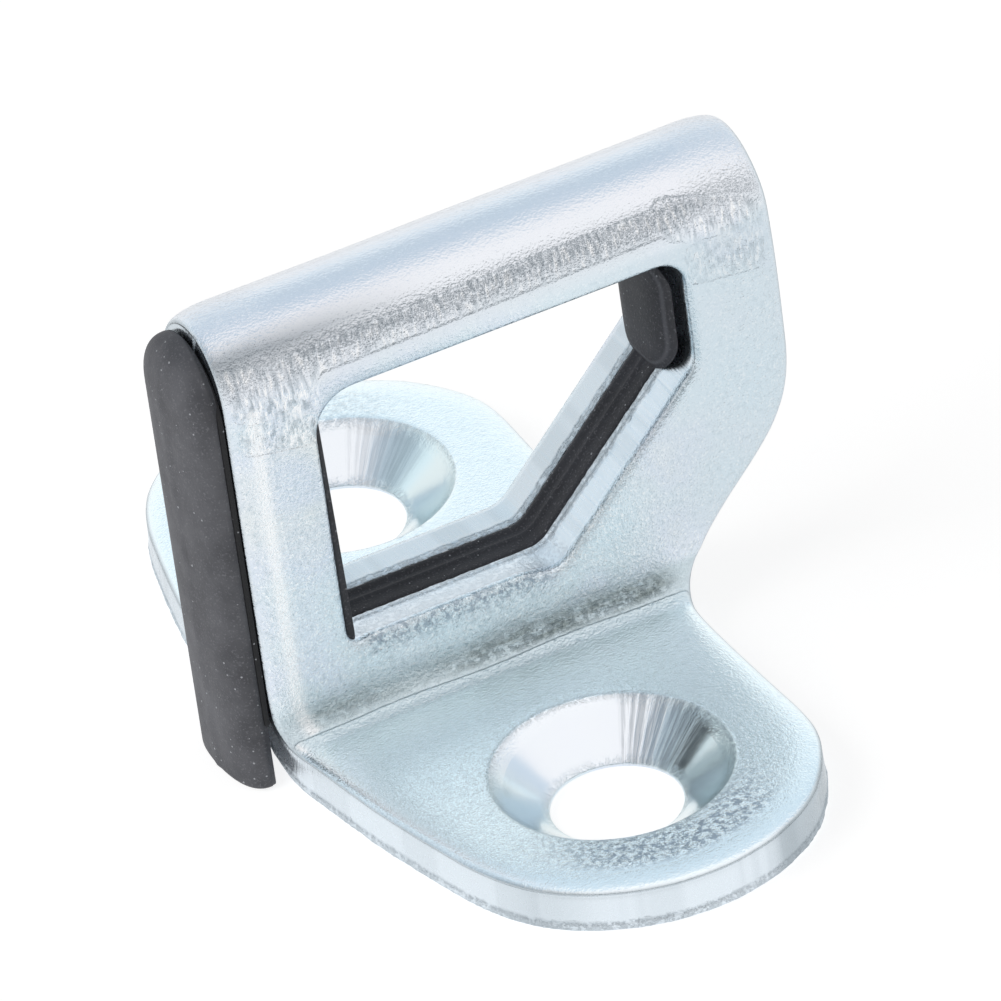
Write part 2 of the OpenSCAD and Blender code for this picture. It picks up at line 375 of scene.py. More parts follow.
def cut_edge(loop, into, profile, seed, shade):
    """A cut edge: the profile carried along the loop. into points into the sheet; the torn lower
    part is roughened by noise along the loop. shade is how much painted shade each stretch of
    wall gets."""
    prof = np.array(profile)
    d, level = prof[:, 0:1], prof[:, 1:2]
    along = np.cumsum(np.linalg.norm(np.roll(loop, -1, 0) - loop, axis=1))
    rough = noise_1d(along * 2.2, seed) * 0.5 + noise_1d(along * 7.0, seed + 1) * 0.5
    torn = smooth_step(level, 2.68, 2.86) * (1 - smooth_step(level, 3.44, 3.5))
    ragged = smooth_step(level, 2.5, 2.8) * (1 - smooth_step(level, 2.95, 3.4))
    depth = level + ragged * 0.14 * rough
    p = loop[None] + into[None] * (d + torn * 0.05 * rough)[..., None]
    wall = smooth_step(level, 0.35, 0.62) * (1 - smooth_step(level, 3.42, 3.5))
    # the painted shade on the walls also comes in random darker blocks along the loop
    blocks = smooth_step(noise_1d(along * 0.55, seed + 2), 0.0, 0.3) * 0.14
    values = {
        "wall": wall,
        "torn": torn,
        "shade": wall * np.clip(shade + blocks, 0, 1),
        "along": along,
        "across": level,
        # painted shade: a thin dark line where the edge's roll turns into the wall
        "rim": np.exp(-(((level - 0.6) / 0.1) ** 2)),
    }
    return p, SHEET - depth, spread(values, p.shape[:2])


# Profile of a screw hole: the sink's lip beyond its radius and below the outer face, then the
# cone's end and the hole's lip beyond its radius and above the inner face
SINK_LIP = [(0.75, 0.0), (0.35, 0.004), (0.13, 0.03), (0.02, 0.08), (-0.05, 0.15)]
CONE_END = (0.12, LAND + 0.1)
HOLE_LIP = [(0.1, LAND + 0.06), (0.03, LAND - 0.02), (0.0, LAND - 0.15)]
HOLE_LIP += [(0.08, 0.08), (0.25, 0.0), (0.7, 0.0)]


def screw_hole(side):
    """Countersunk hole: a profile of radius and height turned about the hole's axis, with shallow
    tool marks on the cone that change with the angle."""
    lip = np.array([(SINK_R + more, SHEET - depth) for more, depth in SINK_LIP])
    foot = np.array([(HOLE_R + more, height) for more, height in HOLE_LIP])
    end = np.array([HOLE_R + CONE_END[0], CONE_END[1]])
    cone = lip[-1] + (end - lip[-1]) * np.linspace(0, 1, 14)[1:-1, None]
    r, w = np.vstack([lip, cone, foot]).T[..., None]
    t = np.linspace(0, 2 * np.pi, 192, endpoint=False)
    past_hole, past_sink = r - HOLE_R, r - SINK_R
    marked = smooth_step(past_hole, 0.2, 0.5) * (1 - smooth_step(past_sink, -0.15, 0)) * (w > LAND)
    rr = r + marked * noise_1d(t * 3, 37 + side) * 0.008
    p = np.stack([HOLE_X + rr * np.cos(t), side * foot_s(HOLE_Y) + rr * np.sin(t)], -1)
    above = w > 0.3
    on_cone = smooth_step(past_hole, -0.05, 0.1) * (1 - smooth_step(past_sink, -0.05, 0.15)) * above
    rough = 0.7 * np.exp(-(((past_hole - 0.22) / 0.16) ** 2))
    rough = rough + 0.5 * np.exp(-((past_sink / 0.1) ** 2))
    turn = np.degrees((np.pi - t) % (2 * np.pi) - np.pi)
    streaked = smooth_step(turn, 0, 25) * (1 - smooth_step(turn, 56, 60))
    values = {
        "cone": on_cone,
        "teal": on_cone * smooth_step(np.abs(turn - 90), 40, 75),
        "streaked": on_cone * streaked * (1.0 if side == 1 else 0.4),
        "torn": rough * above,
        "along": t * 6.5,
        "across": r,
    }
    return p, np.broadcast_to(w, p.shape[:2]), spread(values, p.shape[:2])


# Marks that the press left under the fold: x from and to, z from and to at their middle, fall
PRESS_MARKS = (
    (0.4, 6.8, 28.4, 31.6, 0.22),
    (0.7, 6.5, 25.9, 28.4, 0.17),
    (32.8, 40.25, 29.54, 31.8, 0.21),
    (34.15, 40.3, 26.15, 29.4, 0.12),
    (4.0, 35.0, 30.5, 31.9, -0.01),
)
# Corner radius of a press mark
PRESS_R = 0.7


def press_depth(x, z):
    """How far inside a press mark a point lies, in mm: the greatest of the signed distances to
    rounded boxes whose z is sheared by their fall."""
    depths = []
    for x0, x1, z0, z1, fall in PRESS_MARKS:
        qx = np.abs(x - (x0 + x1) / 2) - (x1 - x0) / 2 + PRESS_R
        qz = np.abs(z + fall * (x - (x0 + x1) / 2) - (z0 + z1) / 2) - (z1 - z0) / 2 + PRESS_R
        outside = np.hypot(np.maximum(qx, 0), np.maximum(qz, 0))
        depths.append(PRESS_R - outside - np.minimum(np.maximum(qx, qz), 0))
    return np.max(depths, axis=0)


def relief(x, s):
    """Hollows pressed into the outer face, in mm: the press marks and a slow waviness."""
    coin = 0.03 * smooth_step(press_depth(x, FOLD_Z - (s - S_FOLD)), -0.5, 0.5)
    return np.where(s > 0, coin, 0) - 0.02 * np.sin(x * 0.31 + 1.0) * np.cos(s * 0.23)


def face_masks(x, s, edge):
    """Where the outer face is worn, coined, mottled, grainy, folded or bent, and where shade is
    painted on it, each from 0 to 1. edge is the distance to the cut outline in mm."""
    z = FOLD_Z - (s - S_FOLD)
    front = s > 0
    a = np.abs(s)
    mask = {}
    below = s - (S_LEAF + 2.3)
    worn = np.exp(-((below / np.where(below > 0, 0.8, 2.3)) ** 2))
    rub = 0.6 * smooth_step(x, 1.5, 3.5) * (1 - 0.5 * smooth_step(x, 6, 9))
    rub = (rub + 0.7 * smooth_step(x, 11, 18)) * (1 - smooth_step(x, 28.5, 31))
    mask["worn"] = worn * rub * np.where(front, 1.0, 0.15)
    mask["coined"] = np.where(front, 0.5 + 0.5 * np.clip(press_depth(x, z), -1, 1), 0)
    tip = smooth_step(a, foot_s(HOLE_Y) + 1, foot_s(HOLE_Y) + 8)
    ring = smooth_step(edge, 1.7, 2.5) * (1 - smooth_step(edge, 4.6, 6.4)) * tip
    mottled = ring * smooth_step(x, 6, 14) * (1 - smooth_step(x, 22, 27))
    mottled = mottled * np.where(front, 1.0, 0.3)
    burr = np.exp(-(((z - 8.1) / 0.6) ** 2)) * smooth_step(x, 6.5, 8) * (1 - smooth_step(x, 20, 23))
    mask["mottled"] = np.where(front, np.maximum(mottled, 0.9 * burr), mottled)
    mask["fold"] = 1 - smooth_step(a, S_FOLD - 1.2, S_FOLD + 0.6)
    low = smooth_step(a, leaf_s(22), leaf_s(12)) * (1 - smooth_step(a, S_LEAF, S_BEND))
    sides = (1 - smooth_step(np.minimum(x, 41 - x), 3, 7)) * (a < S_LEAF)
    mask["grainy"] = np.clip(0.6 + 0.4 * low + 0.4 * sides, 0, 1)
    mask["foot"] = smooth_step(a, S_BEND - 2.5, S_BEND)
    mask["speckled"] = mask["grainy"] * (1 - mask["fold"]) * (1 - 0.6 * mask["foot"])
    # painted shade: a dark band round the front of the fold at its left end, next to the strip
    mask["rubbed"] = np.exp(-(((z - 32.4) / 0.6) ** 2)) * (1 - smooth_step(x, 4, 18)) * front
    bend = smooth_step(a, S_LEAF - 1.0, S_LEAF + 0.8)
    mask["bend"] = bend * (1 - smooth_step(a, S_BEND - 1.6, S_BEND + 0.4))
    mask["crease"] = 0.5 + 0.5 * np.clip(a - S_LEAF - 3.5 - 0.15 * np.sin(x * 0.5), -1, 1)
    on_leaf = (a > S_FOLD) * (1 - smooth_step(a, S_LEAF - 3, S_LEAF))
    # painted shade: the front leaf is painted greyer towards its right end
    mask["duller"] = smooth_step(x, 22, 35) * front * on_leaf
    return mask


def floor_lift(x, s, w):
    """How far the front window's floor is drawn up, in mm: 0.75 exp(-(z - floor)^2) at the outer
    face, times (w/sheet)^1.5 below it, for x from about 7 to 21."""
    lift = 0.75 * np.exp(-((leaf_s(WINDOW_FLOOR) - s) ** 2))
    lift = lift * smooth_step(x, 6.4, 8) * (1 - smooth_step(x, 19, 23))
    return np.where(s > 0, lift * (w / SHEET) ** 1.5, 0)


def plate_edges(outer, step):
    """Every cut edge of the blank: the outline, two windows and two screw holes, each as its
    points, heights and values."""
    outer_in = inward(outer)
    right = -outer_in[:, 0]
    # painted shade on the outline's wall: most where the front wall faces right, some on the rear
    # wall and where the wall faces left
    painted_wall_shade = np.where(outer[:, 1] > 0, 0.75 * smooth_step(right, 0.2, 0.5), 0.3)
    painted_wall_shade = painted_wall_shade + 0.3 * np.exp(-(((right + 0.75) / 0.15) ** 2))
    profile = OUTER_ROLL + SHEAR + TEAR + BURR
    edges = [cut_edge(outer, outer_in, profile, 3, painted_wall_shade)]
    # the pressed left edge shines 1.9 mm in on the leaf and along the rim of the foot
    on_leaf = outer[:, 1] < S_BEND - 2
    away = (np.array(profile)[:, 0:1] - np.where(on_leaf, 1.9, 0.45)) / np.where(on_leaf, 0.5, 0.2)
    left = smooth_step(-right, 0.6, 0.9) * (outer[:, 1] > S_FOLD)
    edges[0][2]["lit"] = (np.exp(-(away**2)) * left).ravel()
    profile = WINDOW_ROLL + SHEAR + TEAR + BURR
    # the rear window's walls get more painted shade than the front window's
    for side, painted_wall_shade in ((1, 0.18), (-1, 0.42)):
        loop = window_loop(side, step)
        p, w, data = cut_edge(loop, -inward(loop), profile, 11 + 4 * side, painted_wall_shade)
        # the front window's floor gets no painted shade, so it is evenly pale, and is a little torn
        floor = side * (1 - smooth_step(leaf_s(0) - p[..., 1].ravel(), 9.2, 9.8)) * data["wall"]
        data["torn"] = np.maximum(data["torn"], 0.3 * floor)
        data["shade"] = data["shade"] * (1 - np.clip(floor, 0, 1))
        edges.append((p, w, data))
    return edges + [screw_hole(side) for side in (1, -1)]


def build_plate(settings, material):
    """The plate: one flat blank with two windows and two screw holes, filled on both faces,
    with cut edges carried round every outline, then bent as one piece."""
    outer = blank_outline(settings.edge_step)
    edges = plate_edges(outer, settings.edge_step)
    patches = [(p, w, ring_quads(*p.shape[:2]), data) for p, w, data in edges]
    for row, w, spacing in ((0, SHEET, settings.face_step), (-1, 0.0, 1.2)):
        rings = [p[row] for p, _, _ in edges]
        flat, tris = filled([rings[0]], rings[1:], spacing)
        data = {"along": flat[:, 0], "across": flat[:, 1]}
        patches.append((flat[None], np.full((1, len(flat)), w), tris, data))
    out = []
    for p, w, faces, data in patches:
        x, s, w = p[..., 0].ravel(), p[..., 1].ravel(), np.array(w, float).ravel()
        on_face = smooth_step(w, SHEET - 0.9, SHEET - 0.2)
        w = w - on_face * relief(x, s)
        edge = nearest(np.stack([x, s], 1), outer[::2]) if w.max() > 1 else np.full(len(x), 9.0)
        masks = {name: value * on_face for name, value in face_masks(x, s, edge).items()}
        points = bent(x, s - floor_lift(x, s, w), w)
        out.append((points, [faces], {**data, **masks, "blank_x": x, "blank_s": s}))
    maps = (("surface", "along", "across"), ("blank", "blank_x", "blank_s"))
    return put_mesh("striker_plate_steel", out, material, "striker_plate", maps)


# Rubber insert

# Its sizes in millimetres; the pad's edge and crown are how far it stands out from its wall
COVER_HALF_W = 4.45
COVER_TOP = 33.9
COVER_END_R = 4.4
FLANGE_LOW = 4.4
FLANGE_TOP = 33.6
WEB_HALF_W = GAP / 2 - 0.05
LINING_TOP = 26.8
LINING_HALF_W = 4.35
PAD_HALF_W = 3.85
PAD_TOP = 28.2
PAD_EDGE = 0.85
PAD_CROWN = 0.9


def capped(rows):
    """A closed tube of rows with both ends closed by a fan to each end's mean point."""
    n, m = rows.shape[:2]
    ends = np.stack([rows[0].mean(0), rows[-1].mean(0)])
    j = np.arange(m)
    first = np.stack([(j + 1) % m, j, np.full(m, n * m)], 1)
    last = np.stack([j + (n - 1) * m, (j + 1) % m + (n - 1) * m, np.full(m, n * m + 1)], 1)
    return np.vstack([rows.reshape(-1, 3), ends]), [ring_quads(n, m), first, last]


def cover_strip(crown, edge=0.25, low_z=0.02):
    """Crowned strip: at each height a D section, x = -(0.3 + edge + crown (1 - |y/h|^2.35)^0.4),
    with the half width and the crown drawn in round its top end and a little at its foot, and a
    fine ridge down its middle."""
    end = COVER_TOP - COVER_END_R
    z = np.concatenate(
        [
            low_z + 0.3 * (1 - np.cos(np.linspace(0, np.pi / 2, 6))),
            np.linspace(low_z + 0.6, end - 0.2, 58),
            end + COVER_END_R * np.sin(np.linspace(0.02, np.pi / 2, 26)),
        ]
    )
    up = np.clip((z - end) / COVER_END_R, 0, 1)
    down = np.clip((low_z + 0.3 - z) / 0.3, 0, 1)
    wide = COVER_HALF_W * np.maximum(1 - up**2.2, 0) ** 0.5 * (1 - 0.03 * down**2)
    wide = np.maximum(wide, 0.02)
    tall = np.maximum(1 - up**2.6, 0) ** 0.5 * (1 - 0.06 * down**2)
    t = np.linspace(0, 2 * np.pi, 72, endpoint=False)
    c, s = np.cos(t), np.sin(t)
    y = wide[:, None] * np.sign(c) * np.abs(c) ** 0.85
    front = np.clip(s, 0, 1) ** 0.8
    x = -0.3 - edge * (s > -0.2) * tall[:, None] - crown * front[None] * tall[:, None]
    x = np.where(s < -0.2, -0.25, x)
    ridge = 0.07 * np.exp(-((y / 0.35) ** 2)) * (front > 0.5) * (1 - up[:, None])
    return capped(np.stack([x - ridge, y, np.broadcast_to(z[:, None], y.shape)], -1))


def plate_shell(loop, x0, x1, edge_r):
    """A flat plate between x0 and x1 with round edges: the outline (y, z) drawn in by the edge
    radius at both faces."""
    turn = np.linspace(0, np.pi / 2, 6)
    drawn, back = edge_r * (1 - np.cos(turn)), edge_r * (1 - np.sin(turn))
    inset = np.concatenate([drawn[::-1], drawn])
    rise = np.concatenate([x0 + back[::-1], x1 - back])
    p = loop[None] + inward(loop)[None] * inset[:, None, None]
    return capped(np.concatenate([np.broadcast_to(rise[:, None, None], p.shape[:2] + (1,)), p], -1))


# The rail's profile across the web: y, and how far it stands out of the window's outline
RAIL = [(WEB_HALF_W, -1.5), (WEB_HALF_W, 0.1), (1.38, 0.2), (1.22, 0.3), (1.06, 0.31), (0.9, 0.24)]
RAIL += [(0.7, 0.12), (0.4, 0.12), (0.16, 0.2), (0.0, 0.26), (-0.16, 0.16), (-0.4, 0.1)]
RAIL += [(-0.8, 0.1), (-1.2, 0.13), (-1.35, 0.1), (-WEB_HALF_W, 0.03), (-WEB_HALF_W, -1.5)]


def insert_web(rail):
    """Web between the leaves with its rail: rings from the outer outline to the window outline on
    both sides, and the rail's profile across the web where it shows in the window."""
    left, right = WINDOW_LEFT + 0.35, WINDOW_RIGHT - 0.6
    low, side, top = (WINDOW_DIAGONAL_X, WINDOW_FLOOR), WINDOW_SIDE_Z - 0.6, WINDOW_TOP + 0.1
    corners = [(left, WINDOW_FLOOR), low, (right, side), (right, top), (left, top)]
    win = rounded_loop(corners, [1.0, 2.4, 1.4, 2.0, 3.0], 0.05)
    corners = [(-0.2, 4.6), (29.9, 4.7), (39.3, 14.1), (39.3, 29.7), (-0.2, 29.7)]
    out = rounded_loop(corners, [0.4, 3.5, 7.0, 0.5, 0.3], 0.05)
    centre = np.array([19.0, 18.0])

    def by_angle(loop):
        d = loop - centre
        a = np.arctan2(d[:, 1], d[:, 0])
        o = np.argsort(a)
        t = np.linspace(-np.pi, np.pi, 640, endpoint=False)
        radius = np.interp(t, a[o], np.linalg.norm(d, axis=1)[o], period=2 * np.pi)
        return centre + radius[:, None] * np.stack([np.cos(t), np.sin(t)], 1)

    win, out = by_angle(win), by_angle(out)
    y, h = np.array(RAIL).T
    bands = win[None] + inward(win)[None] * (h * rail)[:, None, None]
    bands = np.concatenate([out[None], bands, out[None], out[None]])
    y = np.concatenate([[WEB_HALF_W], y, [-WEB_HALF_W, WEB_HALF_W]])
    rows = [bands[..., 0], np.broadcast_to(y[:, None], bands.shape[:2]), bands[..., 1]]
    return np.stack(rows, -1).reshape(-1, 3), [ring_quads(*bands.shape[:2])]


def window_lining():
    """Lining of the left window wall: an upright blade whose thickness grows from top to bottom,
    with round front and rear edges; t(z) = 0.34 + 0.42 (top - z) / 18."""
    tip, foot = np.linspace(LINING_TOP, 26.4, 4), [9.2, 8.95, 8.8, 8.72]
    z = np.concatenate([tip, np.linspace(26.0, 9.6, 40), foot])
    thick = 0.34 + 0.42 * (LINING_TOP - z) / 18
    thick = thick * np.concatenate([[0.3, 0.7, 0.9, 1.0], np.ones(40), [0.98, 0.9, 0.7, 0.35]])
    t = np.linspace(0, 2 * np.pi, 48, endpoint=False)
    y = LINING_HALF_W * np.sign(np.cos(t)) * np.abs(np.cos(t)) ** 0.12
    side = np.sign(np.sin(t)) * np.abs(np.sin(t)) ** 0.35
    x = WINDOW_LEFT + 0.04 + thick[:, None] * (0.5 + 0.5 * side[None])
    rows = np.stack([x, np.broadcast_to(y, x.shape), np.broadcast_to(z[:, None], x.shape)], -1)
    return capped(rows)


# The pad's rim from its neck to its face: how far in from the outline, how far behind the face
PAD_RIM = (
    (1.5, 0.6), (1.3, 0.4), (0.4, 0.3), (0.05, 0.28), (0.0, 0.24), (0.02, 0.18),
    (0.1, 0.12), (0.3, 0.07), (0.45, 0.04), (0.55, 0.03), (0.7, 0.01), (0.9, 0.0),
)
# Rows of the pad that carry a painted highlight round its face, counted from its wall
PAD_HIGHLIGHT_ROWS = (9, 10)


def bumper_pad():
    """Bumper pad on the right window wall: rings of a rounded rectangle from its rim to its
    middle; the face is crowned across, x falls by crown (y/h)^3.5, the rim has a narrow bevel, and
    behind the rim the side steps in to a neck, so that the steel shows beside it."""
    low_z = WINDOW_SIDE_Z - PAD_EDGE - PAD_CROWN + 0.2
    w = PAD_HALF_W
    corners = [(-w, low_z), (w, low_z), (w, PAD_TOP), (-w, PAD_TOP)]
    loop = rounded_loop(corners, [3.2, 1.7, 2.4, 2.4], 0.12)
    centre = np.array([0.0, (low_z + PAD_TOP) / 2])
    n = inward(loop)

    def face_x(p):
        y, z = p[:, 0] / PAD_HALF_W, (p[:, 1] - centre[1]) / (PAD_TOP - low_z) * 2
        return WINDOW_RIGHT - PAD_EDGE - PAD_CROWN * (1 - np.abs(y) ** 3.5) - 0.05 * (1 - z**2)

    rows = [np.column_stack([np.full(len(loop), WINDOW_RIGHT + 0.3), loop + n * 1.5])]
    for inset, back in PAD_RIM:
        p = loop + n * inset
        rows.append(np.column_stack([face_x(p) + back, p]))
    rim = loop + n * PAD_RIM[-1][0]
    for k in np.linspace(1, 0.02, 16)[1:]:
        p = centre + (rim - centre) * k
        rows.append(np.column_stack([face_x(p), p]))
    points, faces = capped(np.array(rows))
    # the rows that carry the painted highlight round the pad's face
    line = np.isin(np.arange(len(rows)), PAD_HIGHLIGHT_ROWS).astype(float)
    return points, faces, np.append(np.repeat(line, len(loop)), [0.0, 0.0])


def build_insert(settings, material):
    """The rubber insert: closed shells of the strip, flange, web with rail, lining and pad."""
    w, low, top = COVER_HALF_W, FLANGE_LOW, FLANGE_TOP
    flange = rounded_loop([(-w, low), (w, low), (w, top), (-w, top)], [0.9, 0.9, 4.4, 4.4], 0.15)
    shells = [
        cover_strip(settings.crown),
        plate_shell(flange, -0.5, -0.05, 0.12),
        insert_web(settings.rail),
        window_lining(),
    ]
    patches = [(xyz, faces, {"shell": float(k)}) for k, (xyz, faces) in enumerate(shells)]
    xyz, faces, line = bumper_pad()
    patches.append((xyz, faces, {"shell": 4.0, "line": line}))
    return put_mesh("rubber_insert_moulding", patches, material, "rubber_insert")


# Materials


def node(tree, kind, inputs=None, ramp=None, **settings):
    """Adds a node: settings are its own, inputs are values or sockets to link, ramp its stops."""
    made = tree.nodes.new("ShaderNode" + kind)
    for key, value in settings.items():
        setattr(made, key, value)
    for key, value in (inputs or {}).items():
        if isinstance(value, bpy.types.NodeSocket):
            tree.links.new(value, made.inputs[key])
        else:
            made.inputs[key].default_value = value
    if ramp:
        stops = made.color_ramp.elements
        for _ in range(len(ramp) - 2):
            stops.new(0.5)
        for stop, (at, colour) in zip(stops, ramp):
            stop.position = at
            stop.color = colour
    return made


def grey(value):
    """An RGBA grey for a ramp."""
    return (value, value, value, 1.0)


def empty_material(name):
    """A material and its node tree, which is empty."""
    material = bpy.data.materials.new(name)
    material.use_nodes = True
    material.node_tree.nodes.clear()
    return material, material.node_tree


def new_material(name):
    """A material, its node tree and the principled shader in it, linked to the output."""
    material, tree = empty_material(name)
    shader = node(tree, "BsdfPrincipled")
    node(tree, "OutputMaterial", {"Surface": shader.outputs[0]})
    return material, tree, shader


# Patterns of the zinc: name, space, size in mm along and across, detail, roughness. The grain is
# drawn a little coarser than the real crystals so that it shows.
ZINC_PATTERNS = (
    ("drift", "mm", 8.0, 8.0, 2.0, 0.55),
    ("grain", "mm", 0.17, 0.17, 2.0, 0.6),
    ("coarse", "mm", 0.42, 0.42, 3.0, 0.65),
    ("fleck", "mm", 0.5, 0.5, 4.0, 0.75),
    ("peel", "mm", 1.8, 1.8, 2.0, 0.5),
    ("blots", "blank", 2.6, 1.3, 4.0, 0.7),
    ("scratch", "blank", 0.9, 0.16, 2.0, 0.6),
    ("stroke", "blank", 0.34, 1.0, 3.0, 0.6),
    ("shear", "surface", 0.22, 5.0, 3.0, 0.6),
    ("chatter", "surface", 0.42, 7.0, 3.0, 0.65),
)
# A broad mask with some noise added, cut off at its middle, gives a crisp ragged border: new name,
# mask, pattern, share of the pattern
ZINC_BORDERS = (("stamp", "coined", "stroke", 0.16), ("fold_line", "crease", "coarse", 0.12))
# Patterns pushed to two tones: new name, pattern, where it starts and ends
ZINC_STEPS = (
    ("flecks", "fleck", 0.46, 0.56),
    ("blots", "blots", 0.4, 0.56),
    ("scratches", "scratch", 0.6, 0.72),
    ("streaks", "chatter", 0.42, 0.55),
    ("lines", "stroke", 0.5, 0.62),
    ("inside", "stamp", 0.57, 0.64),
    ("bright", "grain", 0.55, 0.66),
    ("dim", "coarse", 0.53, 0.63),
)
# Paint over the drift of the passivation: mask, pattern or None, share, colour
ZINC_PAINT = (
    ("fold", None, 0.9, "#E0E4EA"),
    ("foot", None, 1.0, "#EFFAFD"),
    # painted light: the foot's upward face is painted lighter than the leaves
    ("wall", None, 0.9, "#E2EBF2"),
    # painted shade on the cut walls
    ("shade", None, 0.95, "#A4AFB6"),
    ("cone", None, 0.9, "#E4EAF0"),
    ("teal", None, 0.5, "#D2E6E4"),
    ("speckled", "bright", 0.7, "#FAFDFE"),
    ("speckled", "dim", 0.34, "#AFC0CA"),
    # painted shade on the fold's left end
    ("rubbed", None, 0.75, "#808A91"),
    ("streaked", "streaks", 0.5, "#76808A"),
    ("torn", "flecks", 0.4, "#A4AEB5"),
    # painted shade: the hollow of the bend is painted a little darker
    ("bend", None, 0.85, "#D2E1E7"),
    ("worn", "blots", 0.8, "#8C9795"),
    ("worn", "flecks", 0.5, "#687479"),
    ("worn", "scratches", 0.6, "#DCE4E4"),
    ("mottled", "flecks", 0.75, "#76889A"),
    ("coined", "lines", 0.5, "#7A8993"),
    ("coined", "glints", 0.8, "#FFFFFF"),
    # painted shade on the leaf's right end
    ("duller", None, 0.5, "#C4D2DB"),
    # painted shade in the bend's crease
    ("bend", "crease_groove_and_shade", 0.45, "#7F8C92"),
    ("lit", None, 0.75, "#FFFFFF"),
    # painted shade along the turn of the cut edges
    ("rim", None, 0.5, "#8C979D"),
)
# Heights in mm: pattern, mask, height
ZINC_RELIEF = (
    ("grain", "grainy", 0.075),
    ("coarse", "grainy", 0.065),
    ("coarse", "mottled", 0.16),
    ("coarse", "bend", 0.07),
    ("grain", "bend", 0.03),
    ("struck", "coined", 0.26),
    ("inside", "coined", -0.2),
    ("crease_groove_and_shade", "bend", -0.04),
    ("shear", "wall", 0.05),
    ("chatter", "streaked", 0.05),
    ("flecks", "torn", 0.05),
    ("flecks", "worn", -0.06),
    ("scratches", "worn", 0.02),
)
# What a mask adds to the roughness
ZINC_ROUGHNESS = (
    ("wall", 0.12),
    ("torn", 0.15),
    ("worn", 0.2),
    ("cone", 0.03),
    ("bend", 0.16),
    ("fold", -0.02),
)
# The passivation's drift between cyan, lavender and a trace of straw
ZINC_TONES = ((0.32, "#D6E6EE"), (0.48, "#DAE6ED"), (0.6, "#DBE4EF"), (0.76, "#E3E9EA"))


def zinc_patterns(tree):
    """The zinc's patterns and its masks by name; the masks are attributes of the mesh."""
    place = node(tree, "TexCoord").outputs["Object"]
    spaces = {
        "mm": node(tree, "VectorMath", {0: place, "Scale": 1000.0}, operation="SCALE").outputs[0],
        "surface": node(tree, "UVMap", uv_map="surface").outputs[0],
        "blank": node(tree, "UVMap", uv_map="blank").outputs[0],
    }
    pattern, mask = {}, {}
    for name, space, along, across, detail, rough in ZINC_PATTERNS:
        inputs = {0: spaces[space], 1: (1 / along, 1 / across, 1 / along)}
        scaled = node(tree, "VectorMath", inputs, operation="MULTIPLY").outputs[0]
        inputs = {"Vector": scaled, "Scale": 1.0, "Detail": detail, "Roughness": rough}
        pattern[name] = node(tree, "TexNoise", inputs).outputs[0]
    names = {"crease", *(row[0] for row in ZINC_PAINT), *(row[1] for row in ZINC_RELIEF)}
    for name in sorted(names):
        mask[name] = node(tree, "Attribute", attribute_name=name).outputs["Fac"]
    for name, source, noise, more in ZINC_BORDERS:
        inputs = {0: pattern[noise], 1: more, 2: mask[source]}
        pattern[name] = node(tree, "Math", inputs, operation="MULTIPLY_ADD").outputs[0]
    for name, source, low, high in ZINC_STEPS:
        ramp = [(low, grey(0)), (high, grey(1))]
        pattern[name] = node(tree, "ValToRGB", {0: pattern[source]}, ramp).outputs[0]
    # the crease's band is a narrow groove along the crease with painted shade in it, and the glints
    # are the darkest strokes
    ramp = [(0.51, grey(0)), (0.56, grey(1)), (0.62, grey(0))]
    pattern["crease_groove_and_shade"] = node(tree, "ValToRGB", {0: pattern["fold_line"]}, ramp).outputs[0]
    ramp = [(0.38, grey(1)), (0.46, grey(0))]
    pattern["glints"] = node(tree, "ValToRGB", {0: pattern["stroke"]}, ramp).outputs[0]
    # strokes, lines and glints show only inside the press marks
    for name, source in (("struck", "stroke"), ("lines", "lines"), ("glints", "glints")):
        inputs = {0: pattern[source], 1: pattern["inside"]}
        pattern[name] = node(tree, "Math", inputs, operation="MULTIPLY").outputs[0]
    return pattern, mask


def zinc_colour(tree, pattern, mask):
    """The passivation's drift with each row of the paint laid over it."""
    ramp = [(at, linear(code)) for at, code in ZINC_TONES]
    colour = node(tree, "ValToRGB", {0: pattern["drift"]}, ramp).outputs[0]
    for name, over, share, code in ZINC_PAINT:
        amount = node(tree, "Math", {0: mask[name], 1: share}, operation="MULTIPLY").outputs[0]
        if over:
            inputs = {0: amount, 1: pattern[over]}
            amount = node(tree, "Math", inputs, operation="MULTIPLY").outputs[0]
        inputs = {0: amount, 6: colour, 7: linear(code)}
        colour = node(tree, "Mix", inputs, data_type="RGBA").outputs[2]
    return colour


def zinc_height(tree, pattern, mask):
    """Height of the surface in mm: the faint peel and each row of the relief."""
    height = node(tree, "Math", {0: pattern["peel"], 1: 0.012}, operation="MULTIPLY").outputs[0]
    for name, where, tall in ZINC_RELIEF:
        inputs = {0: pattern[name], 1: mask[where]}
        part = node(tree, "Math", inputs, operation="MULTIPLY").outputs[0]
        inputs = {0: part, 1: tall, 2: height}
        height = node(tree, "Math", inputs, operation="MULTIPLY_ADD").outputs[0]
    return height


